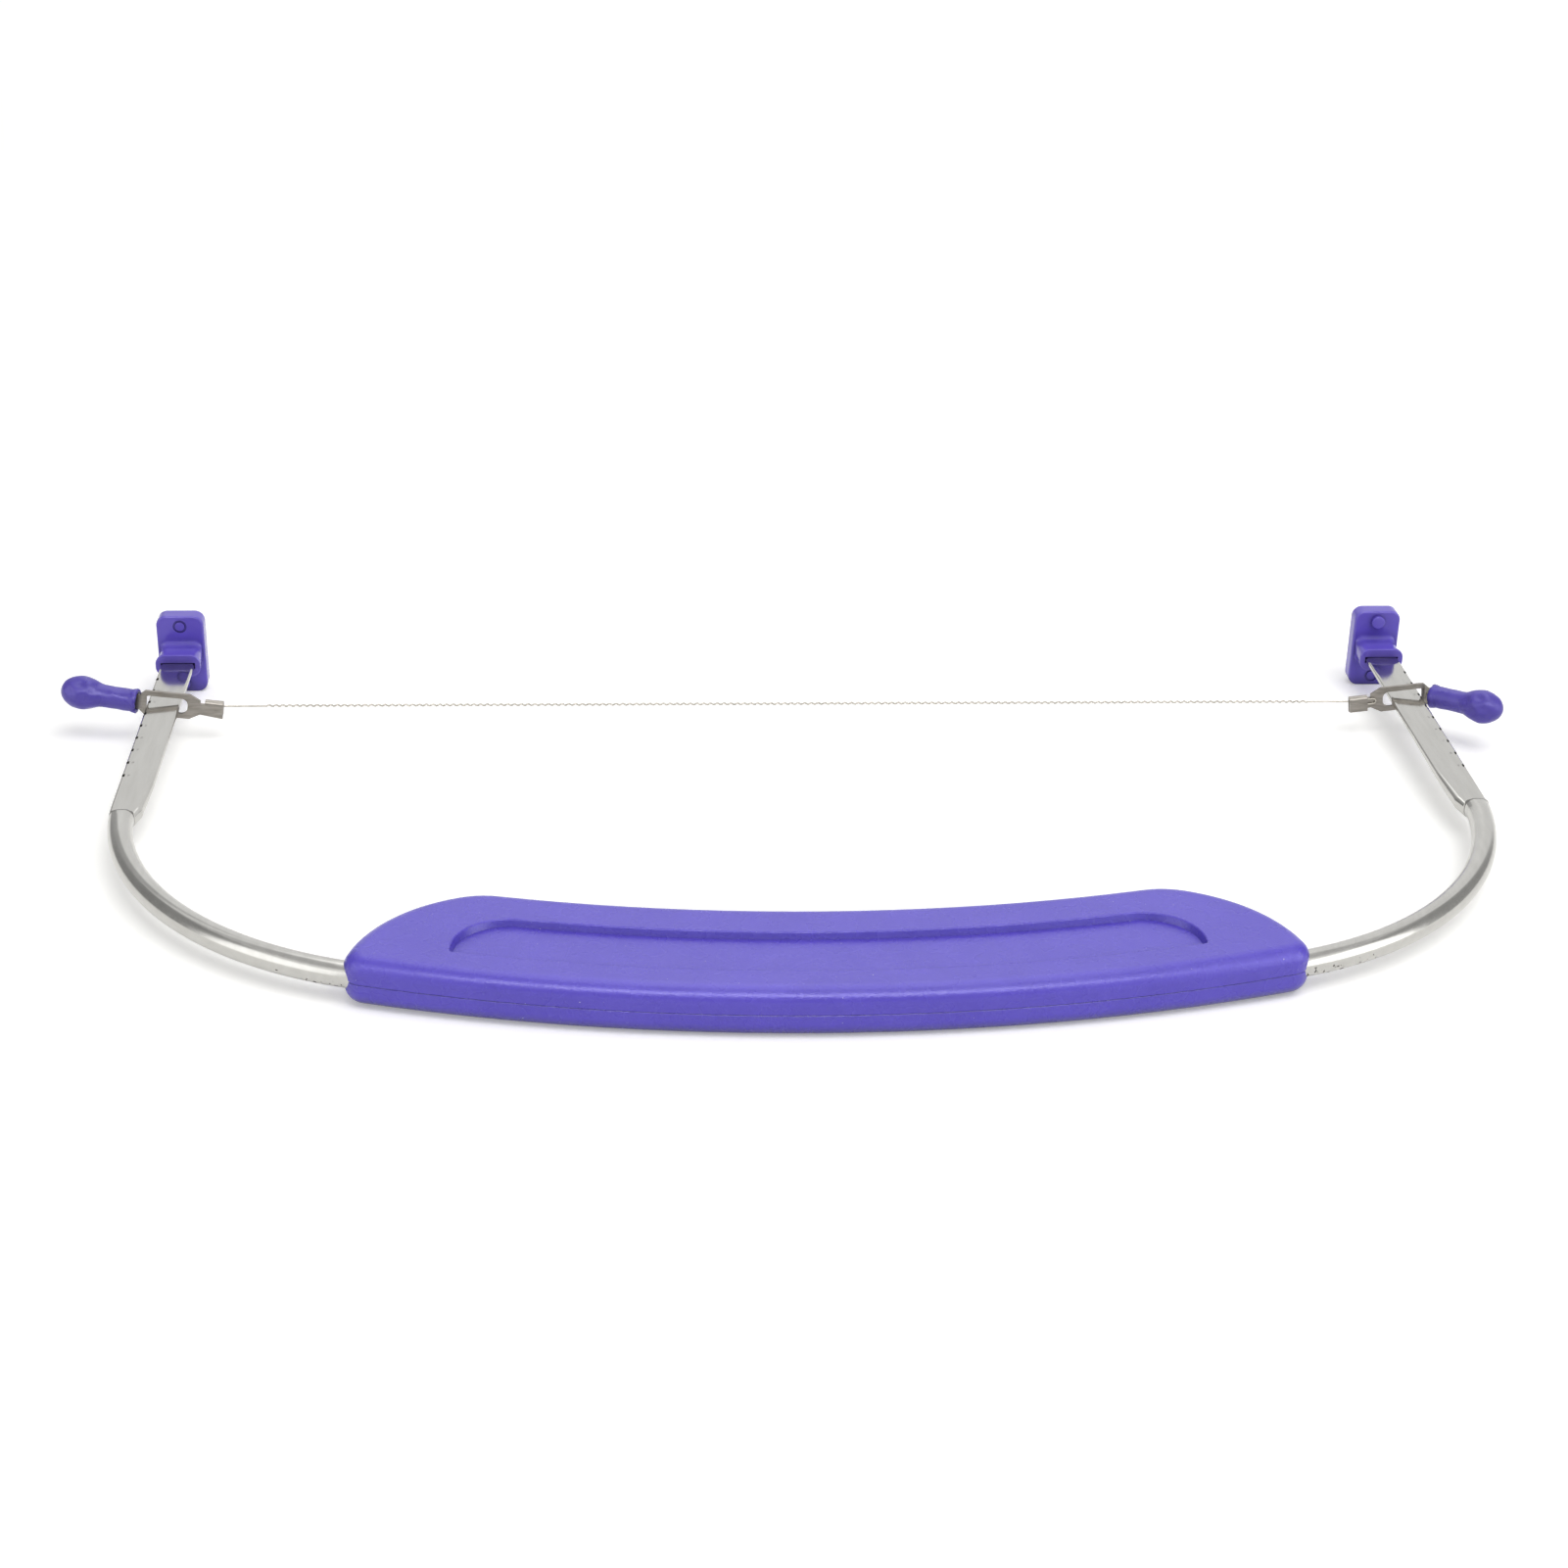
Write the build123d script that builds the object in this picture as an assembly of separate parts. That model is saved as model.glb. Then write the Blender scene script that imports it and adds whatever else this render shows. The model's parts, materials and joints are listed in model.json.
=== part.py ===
from build123d import *

import os
from math import asin, atan2, cos, degrees, hypot, radians, sin, sqrt

# A cake leveler: a steel bow with a crinkled cutting wire between its flat, notched arms.
# It is modelled in the bow's own frame, then laid down as it rests on a table.
# Bow frame: X across the bow, Y = 0 at the soles with the handle towards -Y, Z = 0 midway
# through the tube. Millimetres throughout.

# Bow
notched_edge_reach = 134.6
arm_length = 76.9
bend_radius = 69.2
bow_back_radius = 450.0
tube_diameter = 4.76
tube_wall = 0.6

# Flat arms
strip_tip_width = 7.1
strip_shoulder_width = 6.7
strip_thickness = 1.25
strip_edge_radius = 0.5
shoulder_length = 4.5
tip_cover = 1.2

# Notches, counted from the feet
notch_count = 9
rest_notch = 2
sole_to_first_notch = 18.3
notch_pitch = 5.81
notch_width = 1.1
notch_depth = 0.65

# Handle
handle_length = 170.4
handle_width = 30.5
handle_thickness = 9.4
handle_front_radius = 283.0
bow_inset = 7.5
cheek_radius_share = 0.9311
cheek_setback_share = 0.136
peak_rounding = 14.0
corner_rounding = 4.0
rim_rounding = 2.9
seam_bevel = 0.15
handle_wall = 2.0
handle_roof = 2.3
channel_clearance = 0.05

# Recess in the upper shell
recess_length = 132.6
recess_width = 13.5
recess_from_front = 7.4
recess_depth = 1.3
recess_end_share = 0.74
recess_tip_rounding = 0.9
recess_wall_run = 0.6
recess_rim_rounding = 0.35

# Ribs and locating pins inside the handle
rib_count = 9
rib_thickness = 1.6
rib_span_share = 0.82
pin_count = 4
pin_diameter = 2.8
pin_height = 1.8
pin_clearance = 0.1
pin_from_back = 7.0
pin_span_share = 0.6
boss_wall = 1.4

# Feet
foot_width = 10.1
foot_height = 17.7
foot_thickness = 3.8
foot_corner = 2.2
foot_edge_rounding = 0.45
collar_width = 9.5
collar_height = 5.0
collar_length = 6.3
collar_corner = 2.1
collar_root_flare = 1.3
collar_flare_steps = 5
mouth_lip = 0.35
mouth_lip_length = 1.3
slot_clearance = 0.08
mark_diameter = 2.9
mark_from_end = 2.35
boss_height = 1.1
boss_rounding = 0.3
ring_width = 0.45
ring_depth = 0.3

# Wire clips, stamped from sheet
sheet = 0.65
clip_clearance = 0.15
window_length = 8.45
window_height = 3.4
window_corner = 0.35
ring_bar = 1.05
outer_land = 0.3
ring_shoulder = 1.2
inner_land = 0.4
neck_run = 2.2
neck_height = 3.0
tab_height = 3.3
tab_length = 4.7
tab_flare = 0.4
flap_length = 3.8
flap_gap = 0.35
tang_height = 3.3
tang_run = 0.8
tang_bend_radius = 1.0
tang_insert = 6.0

# How the clips hang on the arms, and how far each tang is bent aside
clip_rise = 0.5
clip_tilt_angle = 6.5
left_tang_angle = 8.0
right_tang_angle = 42.0

# Pull knobs
left_knob_from_bend = 1.0
right_knob_from_bend = 1.5
stem_diameter = 4.7
lip_diameter = 5.4
lip_width = 0.9
stem_length = 11.5
bulb_diameter = 7.1
bulb_length = 9.4
bulb_blend = 5.0
mouth_depth = 0.8
mouth_wall = 0.9
socket_clearance = 0.05

# Cutting wire
wire_diameter = 0.38
crimp_clearance = 0.03
hairpin_width = 1.1
hairpin_reach = 1.9
return_leg_inset = 0.6
exit_stub = 0.3
plain_lead = 8.0
wave_pitch = 1.42
wave_height = 0.3

# Cuts run past the solid by this much
overrun = 1.0

# Places worked out from the sizes above
tube_reach = notched_edge_reach - tube_diameter / 2
bend_x = tube_reach - bend_radius
back_centre_y = -arm_length + sqrt((bow_back_radius - bend_radius) ** 2 - bend_x**2)
tube_front_y = back_centre_y - bow_back_radius
handle_front_y = tube_front_y - bow_inset
handle_centre_y = handle_front_y + handle_front_radius
half_thickness = handle_thickness / 2
cheek_radius = cheek_radius_share * handle_width
cheek_setback = cheek_setback_share * handle_width
wire_y = -sole_to_first_notch - rest_notch * notch_pitch
foot_x = notched_edge_reach - strip_tip_width / 2
crimp_gap = wire_diameter + 2 * crimp_clearance
fold_radius = crimp_gap / 2 + sheet
leg_y = -(sheet + crimp_gap) / 2


def span_places(count, span):
    """Evenly spaced places, centred on zero, from one end of the span to the other."""
    return [span * (i / (count - 1) - 1 / 2) for i in range(count)]


# Bow: one tube bent to a U, its ends pressed flat and notched
def arm_section(y, width):
    """The flattened tube's section where the arm is `width` wide, notched edge outwards."""
    plane = Plane(origin=(notched_edge_reach - width / 2, y, 0), x_dir=(1, 0, 0), z_dir=(0, -1, 0))
    return plane * RectangleRounded(width, strip_thickness, strip_edge_radius)


def bend_point(angle):
    """A point on the right-hand bend's centre line, `angle` degrees round from the arm."""
    along = radians(angle)
    return (bend_x + bend_radius * cos(along), -arm_length - bend_radius * sin(along), 0)


def tube_path(start_angle):
    """Centre line of the round tube, from one bend through the handle to the other."""
    back_angle = degrees(asin(bend_x / (bow_back_radius - bend_radius)))
    sweep_angle = 90 - back_angle - start_angle
    right = CenterArc((bend_x, -arm_length, 0), bend_radius, -start_angle, -sweep_angle)
    back = CenterArc((0, back_centre_y, 0), bow_back_radius, back_angle - 90, -2 * back_angle)
    left = CenterArc((-bend_x, -arm_length, 0), bend_radius, -90 - back_angle, -sweep_angle)
    return Wire([*right.edges(), *back.edges(), *left.edges()])


def swept_tube(radius, start_angle):
    """A round bar of the given radius along the tube's centre line."""
    path = tube_path(start_angle)
    section = Plane(origin=path @ 0, z_dir=path % 0) * Circle(radius)
    return sweep(section, path=path)


def make_arm():
    """The right-hand flat arm with its notches, and the shoulder that meets the round tube."""
    tip = arm_section(-tip_cover, strip_tip_width)
    shoulder = arm_section(-arm_length, strip_shoulder_width)
    arm = loft([tip, shoulder], ruled=True)
    for index in range(notch_count):
        y = -sole_to_first_notch - index * notch_pitch
        cutter = Box(2 * notch_depth, notch_width, strip_thickness + overrun)
        arm -= Pos(notched_edge_reach, y, 0) * cutter
    turn = degrees(shoulder_length / bend_radius)
    along = radians(turn)
    heading = (-sin(along), -cos(along), 0)
    round_end = Plane(origin=bend_point(turn), x_dir=(cos(along), -sin(along), 0), z_dir=heading)
    return arm + loft([shoulder, round_end * Circle(tube_diameter / 2)])


def make_bow():
    """The whole bow: hollow tube and two mirrored arms."""
    start = degrees(shoulder_length / bend_radius)
    outside = swept_tube(tube_diameter / 2, start)
    bore = swept_tube(tube_diameter / 2 - tube_wall, start + degrees(tube_diameter / bend_radius))
    arm = make_arm()
    return outside - bore + arm + mirror(arm, about=Plane.YZ)


# Handle: two moulded shells that meet midway and clamp the tube
def band(back_radius, front_radius, length):
    """A stretch of ring between two arcs about the handle's centre, cut to a length."""
    ring = Circle(front_radius) - Circle(back_radius)
    window = Pos(0, -front_radius) * Rectangle(length, front_radius)
    return Pos(0, handle_centre_y) * (ring & window)


def handle_plan(inset):
    """Outline seen from above, drawn in by `inset`: a curved band with full, rounded cheeks."""
    reach = handle_length / 2 - cheek_radius
    cheek_y = handle_centre_y - sqrt((handle_front_radius - cheek_setback) ** 2 - reach**2)
    room = Pos(0, cheek_y) * Rectangle(2 * reach, 2 * handle_width)
    for side in (-1, 1):
        room += Pos(side * reach, cheek_y) * Circle(cheek_radius - inset)
    back_radius = handle_front_radius - handle_width + inset
    plan = band(back_radius, handle_front_radius - inset, handle_length) & room
    plan = fillet(plan.vertices().sort_by(Axis.Y)[-2:], peak_rounding - inset)
    return fillet(plan.vertices().sort_by(Axis.Y)[:2], corner_rounding - inset)


def shell_block():
    """Upper half of the handle as a solid block, rounded above and bevelled at the seam."""
    block = extrude(handle_plan(0), half_thickness)
    block = fillet(block.edges().group_by(Axis.Z)[-1], rim_rounding)
    return chamfer(block.edges().group_by(Axis.Z)[0], seam_bevel)


def pin_places():
    """Where the locating pins stand, on an arc behind the recess."""
    radius = handle_front_radius - handle_width + pin_from_back
    places = span_places(pin_count, pin_span_share * handle_length)
    return [(x, handle_centre_y - sqrt(radius**2 - x**2)) for x in places]


def shell_inside():
    """The hollow of one shell, with ribs across it and bosses for the pins left standing."""
    depth = half_thickness - handle_roof
    hollow = extrude(handle_plan(handle_wall), depth)
    middle_y = handle_front_y + handle_width / 2
    for x in span_places(rib_count, rib_span_share * handle_length):
        hollow -= Pos(x, middle_y, depth / 2) * Box(rib_thickness, 2 * handle_width, depth)
    for x, y in pin_places():
        radius = pin_diameter / 2 + pin_clearance + boss_wall
        hollow -= Pos(x, y, depth / 2) * Cylinder(radius, depth)
    return hollow


def tube_channel():
    """Room for the tube through both shells."""
    return swept_tube(tube_diameter / 2 + channel_clearance, degrees(shoulder_length / bend_radius))


def recess_plan(inset):
    """The recess's outline seen from above, drawn in by `inset`."""
    front_radius = handle_front_radius - recess_from_front - inset
    back_radius = handle_front_radius - recess_from_front - recess_width + inset
    plan = band(back_radius, front_radius, recess_length - 2 * inset)
    plan = fillet(plan.vertices().sort_by(Axis.Y)[-2:], recess_end_share * recess_width - inset)
    return fillet(plan.vertices().sort_by(Axis.Y)[:2], recess_tip_rounding - inset)


def make_top_shell(channel):
    """Upper shell: shallow recess above, sockets for the pins below."""
    shell = shell_block() - shell_inside() - channel
    rim = Pos(0, 0, half_thickness) * recess_plan(0)
    floor = Pos(0, 0, half_thickness - recess_depth) * recess_plan(recess_wall_run)
    shell -= loft([rim, floor], ruled=True)
    around_recess = shell.faces().sort_by(Axis.Z)[-1].inner_wires()[0]
    shell = fillet(around_recess.edges(), recess_rim_rounding)
    for x, y in pin_places():
        depth = pin_height + pin_clearance
        shell -= Pos(x, y, depth / 2) * Cylinder(pin_diameter / 2 + pin_clearance, depth)
    return shell


def make_bottom_shell(channel):
    """Lower shell: the same block turned over, plain outside, with the pins standing on it."""
    shell = mirror(shell_block() - shell_inside(), about=Plane.XY) - channel
    for x, y in pin_places():
        pin = Pos(x, y, pin_height / 2) * Cylinder(pin_diameter / 2, pin_height)
        shell += chamfer(pin.edges().group_by(Axis.Z)[-1], pin_clearance)
    return shell


# Feet: a sole plate with a collar that grips the arm's tip
def collar_section(flare, lip=0):
    """The collar's outline, taller by `flare` at the plate, and larger all round by `lip`."""
    width = collar_width - 2 * mouth_lip + 2 * lip
    height = collar_height - 2 * mouth_lip + 2 * (flare + lip)
    return RectangleRounded(width, height, collar_corner - mouth_lip + lip)


def make_foot():
    """The right-hand foot. The left one is the same moulding turned over."""
    facing = Plane(origin=(foot_x, 0, 0), x_dir=(1, 0, 0), z_dir=(0, -1, 0))
    plate = extrude(facing * RectangleRounded(foot_width, foot_height, foot_corner), foot_thickness)
    plate = fillet(plate.faces().sort_by(Axis.Y)[0].edges(), foot_edge_rounding)
    plate = fillet(plate.faces().sort_by(Axis.Y)[-1].edges(), foot_edge_rounding)
    root = facing.offset(foot_thickness)
    mouth = foot_thickness + collar_length
    sections = [facing.offset(mouth) * collar_section(0, mouth_lip / 2)]
    sections.append(facing.offset(mouth - mouth_lip / 2) * collar_section(0, mouth_lip))
    sections.append(facing.offset(mouth - mouth_lip_length / 2) * collar_section(0, mouth_lip))
    sections.append(facing.offset(mouth - mouth_lip_length) * collar_section(0))
    for index in range(collar_flare_steps + 1):
        turn = radians(90 * index / collar_flare_steps)
        rise = collar_root_flare * (1 - sin(turn))
        sections.append(facing.offset(foot_thickness + rise) * collar_section(collar_root_flare * (1 - cos(turn))))
    foot = plate + loft(sections, ruled=True)
    slot_length = foot_thickness + collar_length - tip_cover + slot_clearance + overrun
    slot_y = -tip_cover + slot_clearance - slot_length / 2
    slot = Box(strip_tip_width + 2 * slot_clearance, slot_length, strip_thickness + 2 * slot_clearance)
    foot -= Pos(foot_x, slot_y, 0) * slot
    mark_z = foot_height / 2 - mark_from_end
    boss = root * Pos(0, mark_z) * Circle(mark_diameter / 2)
    stud = extrude(boss, boss_height)
    foot += fillet(stud.edges().group_by(Axis.Y)[0], boss_rounding)
    ring = root * Pos(0, -mark_z) * (Circle(mark_diameter / 2) - Circle(mark_diameter / 2 - ring_width))
    return foot - extrude(ring, -ring_depth)


# Wire clips: a stamped window that rides on the arm, a folded tab for the wire and a bent tang
# Clip frame: X outwards from the notched edge, Y = 0 midway through the sheet, Z up
window_end = clip_clearance - window_length
neck_x = window_end - inner_land - neck_run
tab_end = neck_x - tab_length
fold_z = tab_height / 2 - fold_radius
leg_z = fold_z - wire_diameter / 2
bend_u = clip_clearance + tang_run


def tang_setting(side):
    """The tang's bend angle and the knob's distance along it, right (1) or left (-1)."""
    if side > 0:
        return right_tang_angle, right_knob_from_bend
    return left_tang_angle, left_knob_from_bend


def along_tang(side, distance):
    """A point on the tang's centre line, `distance` from the bend as seen from above."""
    turn = radians(tang_setting(side)[0])
    return (bend_u + distance * cos(turn), -distance * sin(turn))


def clip_outline(side):
    """The stamping seen from the handle: ring, window, neck, tab's back and tang."""
    ring_z = window_height / 2 + ring_bar
    outer_x = clip_clearance + outer_land
    tang_x = outer_x + ring_shoulder
    end_x = along_tang(side, tang_setting(side)[1] + tang_insert)[0]
    outline = Polyline(
        (end_x, tang_height / 2),
        (tang_x, tang_height / 2),
        (outer_x, ring_z),
        (window_end - inner_land, ring_z),
        (neck_x, neck_height / 2),
        (neck_x, fold_z),
        (tab_end, fold_z),
        (tab_end, -tab_height / 2 - tab_flare),
        (neck_x, -neck_height / 2),
        (window_end - inner_land, -ring_z),
        (outer_x, -ring_z),
        (tang_x, -tang_height / 2),
        (end_x, -tang_height / 2),
        close=True,
    )
    window = Pos(clip_clearance - window_length / 2, 0) * Rectangle(window_length, window_height)
    window = fillet(window.vertices().sort_by(Axis.X)[:2], window_height / 2 - window_corner)
    window = fillet(window.vertices().sort_by(Axis.X)[-2:], window_corner)
    return make_face(outline) - window


def clip_sheet(side):
    """The flat sheet, bent in plan at the tang and cut to the stamping's outline."""
    reach = tang_setting(side)[1] + tang_insert + overrun
    line = FilletPolyline((tab_end - overrun, 0), (bend_u, 0), along_tang(side, reach), radius=tang_bend_radius)
    bent = extrude(trace(line, sheet), window_height + ring_bar, both=True)
    return bent & extrude(Plane.XZ * clip_outline(side), reach, both=True)


def clip_fold():
    """The flap folded over the wire along the tab's upper edge."""
    drop = fold_z + tab_height / 2 + tab_flare - flap_gap
    bend = Circle(fold_radius) - Circle(crimp_gap / 2)
    bend &= Pos(0, fold_radius) * Rectangle(2 * fold_radius, 2 * fold_radius)
    flap_y = -(crimp_gap + sheet) / 2
    bend += Pos(flap_y, -drop / 2) * Rectangle(sheet, drop)
    section = Plane(origin=(tab_end, leg_y, fold_z), x_dir=(0, 1, 0), z_dir=(1, 0, 0)) * bend
    return extrude(section, flap_length)


# Pull knobs: a soft sleeve that swells to a bulb, pushed on the tang
def knob_placed(side):
    """Where the knob's mouth lies in the clip frame."""
    angle, distance = tang_setting(side)
    return Pos(*along_tang(side, distance)) * Rot(0, 0, -angle)


def make_knob():
    """The knob with its mouth at the origin and its axis along X."""
    stem = Pos(stem_length / 2, 0) * Rectangle(stem_length, stem_diameter)
    bulb = Pos(stem_length, 0) * Ellipse(bulb_length / 2, bulb_diameter / 2)
    profile = stem + bulb
    waist = [v for v in profile.vertices() if lip_width < v.X < stem_length and v.Y != 0]
    profile = fillet(waist, bulb_blend)
    profile += Pos(lip_width / 2, 0) * Rectangle(lip_width, lip_diameter)
    profile &= Pos(stem_length / 2, bulb_diameter / 2) * Rectangle(2 * stem_length, bulb_diameter)
    knob = revolve(profile, Axis.X)
    knob -= Pos(mouth_depth / 2, 0, 0) * Rot(0, 90, 0) * Cylinder(lip_diameter / 2 - mouth_wall, mouth_depth)
    depth = tang_insert + sheet
    height = tang_height + 2 * socket_clearance
    return knob - Pos(depth / 2, 0, 0) * Box(depth, sheet + 2 * socket_clearance, height)


# Cutting wire: plain ends turned back as hairpins in the tabs, crinkled between
def hairpin():
    """One wire end in the clip frame, from just outside the tab round and back under the flap."""
    turn_x = tab_end + flap_length + hairpin_reach - hairpin_width / 2
    low = leg_z - hairpin_width
    out = Line((tab_end - exit_stub, leg_z), (turn_x, leg_z))
    bend = CenterArc((turn_x, (leg_z + low) / 2), hairpin_width / 2, 90, -180)
    back = Line((turn_x, low), (tab_end + return_leg_inset, low))
    flat = trace([out, bend, back], wire_diameter)
    return Pos(0, leg_y, 0) * extrude(Plane.XZ * flat, wire_diameter / 2, both=True)


def crinkled_span(length):
    """The stretch between the tabs, along X about zero: plain leads and even waves."""
    waves = int((length - 2 * plain_lead) / wave_pitch)
    start = -waves * wave_pitch / 2
    crest = wave_height / 2
    middle = [(start + (i + 1 / 2) * wave_pitch / 2, crest * (-1) ** i) for i in range(2 * waves)]
    line = [(-length / 2, 0), (start, 0), *middle, (-start, 0), (length / 2, 0)]
    half = wire_diameter / 2
    outline = [(x, z + half) for x, z in line] + [(x, z - half) for x, z in reversed(line)]
    return extrude(Plane.XZ * make_face(Polyline(*outline, close=True)), half, both=True)


def clip_placed(side):
    """Where a clip frame goes on the right-hand (1) or left-hand (-1) arm, in the bow's frame."""
    half_turn = 0 if side > 0 else 180
    hang = Pos(notched_edge_reach, 0, clip_rise) * Rot(0, -clip_tilt_angle, 0)
    return Pos(0, wire_y, 0) * Rot(0, 0, half_turn) * hang


def make_wire():
    """The whole wire in the bow's frame."""
    ends = [clip_placed(side) * hairpin() for side in (-1, 1)]
    exits = [(clip_placed(side) * Pos(tab_end - exit_stub / 2, leg_y, leg_z)).position for side in (-1, 1)]
    across = exits[1] - exits[0]
    middle = (exits[0] + exits[1]) / 2
    skew = degrees(atan2(across.Y, across.X))
    return Pos(middle) * Rot(0, 0, skew) * crinkled_span(across.length) + ends[0] + ends[1]


# Assembly, tilted to lie on the feet's lower edges and the handle's lower front edge
def lying_angle():
    """Turn about X that brings the two resting edges level."""
    edge_y = -foot_thickness + foot_edge_rounding
    edge_z = -foot_height / 2 + foot_edge_rounding
    front_y = handle_front_y + rim_rounding
    front_z = -half_thickness + rim_rounding
    run = edge_y - front_y
    rise = edge_z - front_z
    return degrees(asin((foot_edge_rounding - rim_rounding) / hypot(run, rise)) - atan2(rise, run))


def build_parts():
    """Every piece in the bow's frame, by node name."""
    channel = tube_channel()
    foot = make_foot()
    fold = clip_fold()
    knob = make_knob()
    return {
        "handle_top_shell": make_top_shell(channel),
        "handle_bottom_shell": make_bottom_shell(channel),
        "bow_tube": make_bow(),
        "right_foot": foot,
        "left_foot": Rot(0, 180, 0) * foot,
        "right_wire_clip": clip_placed(1) * (clip_sheet(1) + fold),
        "left_wire_clip": clip_placed(-1) * (clip_sheet(-1) + fold),
        "right_pull_knob": clip_placed(1) * knob_placed(1) * knob,
        "left_pull_knob": clip_placed(-1) * knob_placed(-1) * knob,
        "cutting_wire": make_wire(),
    }


def lay_down(parts):
    """Tilt the tool as it lies and put the origin under the middle of its box."""
    laid = {name: Rot(lying_angle(), 0, 0) * shape for name, shape in parts.items()}
    box = Compound(list(laid.values())).bounding_box()
    shift = Pos(-box.center().X, -box.center().Y, -box.min.Z)
    return {name: shift * shape for name, shape in laid.items()}


os.makedirs("parts", exist_ok=True)
for node, shape in lay_down(build_parts()).items():
    export_step(shape, f"parts/{node}.step")
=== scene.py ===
"""Cake leveler: a steel bow with a purple handle, and a crinkled wire held by two sliding clips."""

import json
import logging
import math
from dataclasses import dataclass, field, replace
from enum import Enum

import bmesh
import bpy
from mathutils import Matrix, Vector, noise

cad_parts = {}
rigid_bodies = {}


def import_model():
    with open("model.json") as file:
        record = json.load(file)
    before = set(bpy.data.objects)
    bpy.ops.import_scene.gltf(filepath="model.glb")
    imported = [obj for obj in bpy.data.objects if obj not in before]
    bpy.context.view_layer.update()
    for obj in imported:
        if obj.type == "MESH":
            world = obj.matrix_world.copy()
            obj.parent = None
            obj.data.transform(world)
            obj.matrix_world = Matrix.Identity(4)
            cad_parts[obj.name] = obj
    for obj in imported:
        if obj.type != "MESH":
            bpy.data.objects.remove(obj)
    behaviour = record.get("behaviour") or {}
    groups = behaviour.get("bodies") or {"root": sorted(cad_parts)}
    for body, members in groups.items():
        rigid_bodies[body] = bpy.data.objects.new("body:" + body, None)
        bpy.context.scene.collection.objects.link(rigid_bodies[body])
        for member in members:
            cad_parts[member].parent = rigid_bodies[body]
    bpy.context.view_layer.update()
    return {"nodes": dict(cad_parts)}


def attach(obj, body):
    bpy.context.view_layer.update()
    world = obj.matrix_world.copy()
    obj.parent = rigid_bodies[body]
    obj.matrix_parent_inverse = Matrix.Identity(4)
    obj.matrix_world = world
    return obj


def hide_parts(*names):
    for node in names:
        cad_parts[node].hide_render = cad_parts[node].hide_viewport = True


LOG = logging.getLogger("cake_leveler")
MM = 0.001
TINY = 1e-6
PHOTO_WIDTH = 1601
Span = tuple[float, float]
Triple = tuple[float, float, float]
Colour = Triple
Socket = bpy.types.NodeSocket
Feed = Socket | float | tuple[float, ...]
Nodes = dict[str, bpy.types.Object]
BLACK: Colour = (0.0, 0.0, 0.0)
WHITE: Colour = (1.0, 1.0, 1.0)


class Side(Enum):
    """The two arms of the bow, as seen by someone holding the handle."""

    LEFT = -1
    RIGHT = 1

    @property
    def label(self) -> str:
        """The word that piece and body names begin with."""
        return self.name.lower()


class Visibility(Enum):
    """Which rays see a backdrop's own brightness."""

    CAMERA = "Is Camera Ray"
    GLOSSY = "Is Glossy Ray"
    TRANSMISSION = "Is Transmission Ray"


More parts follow.
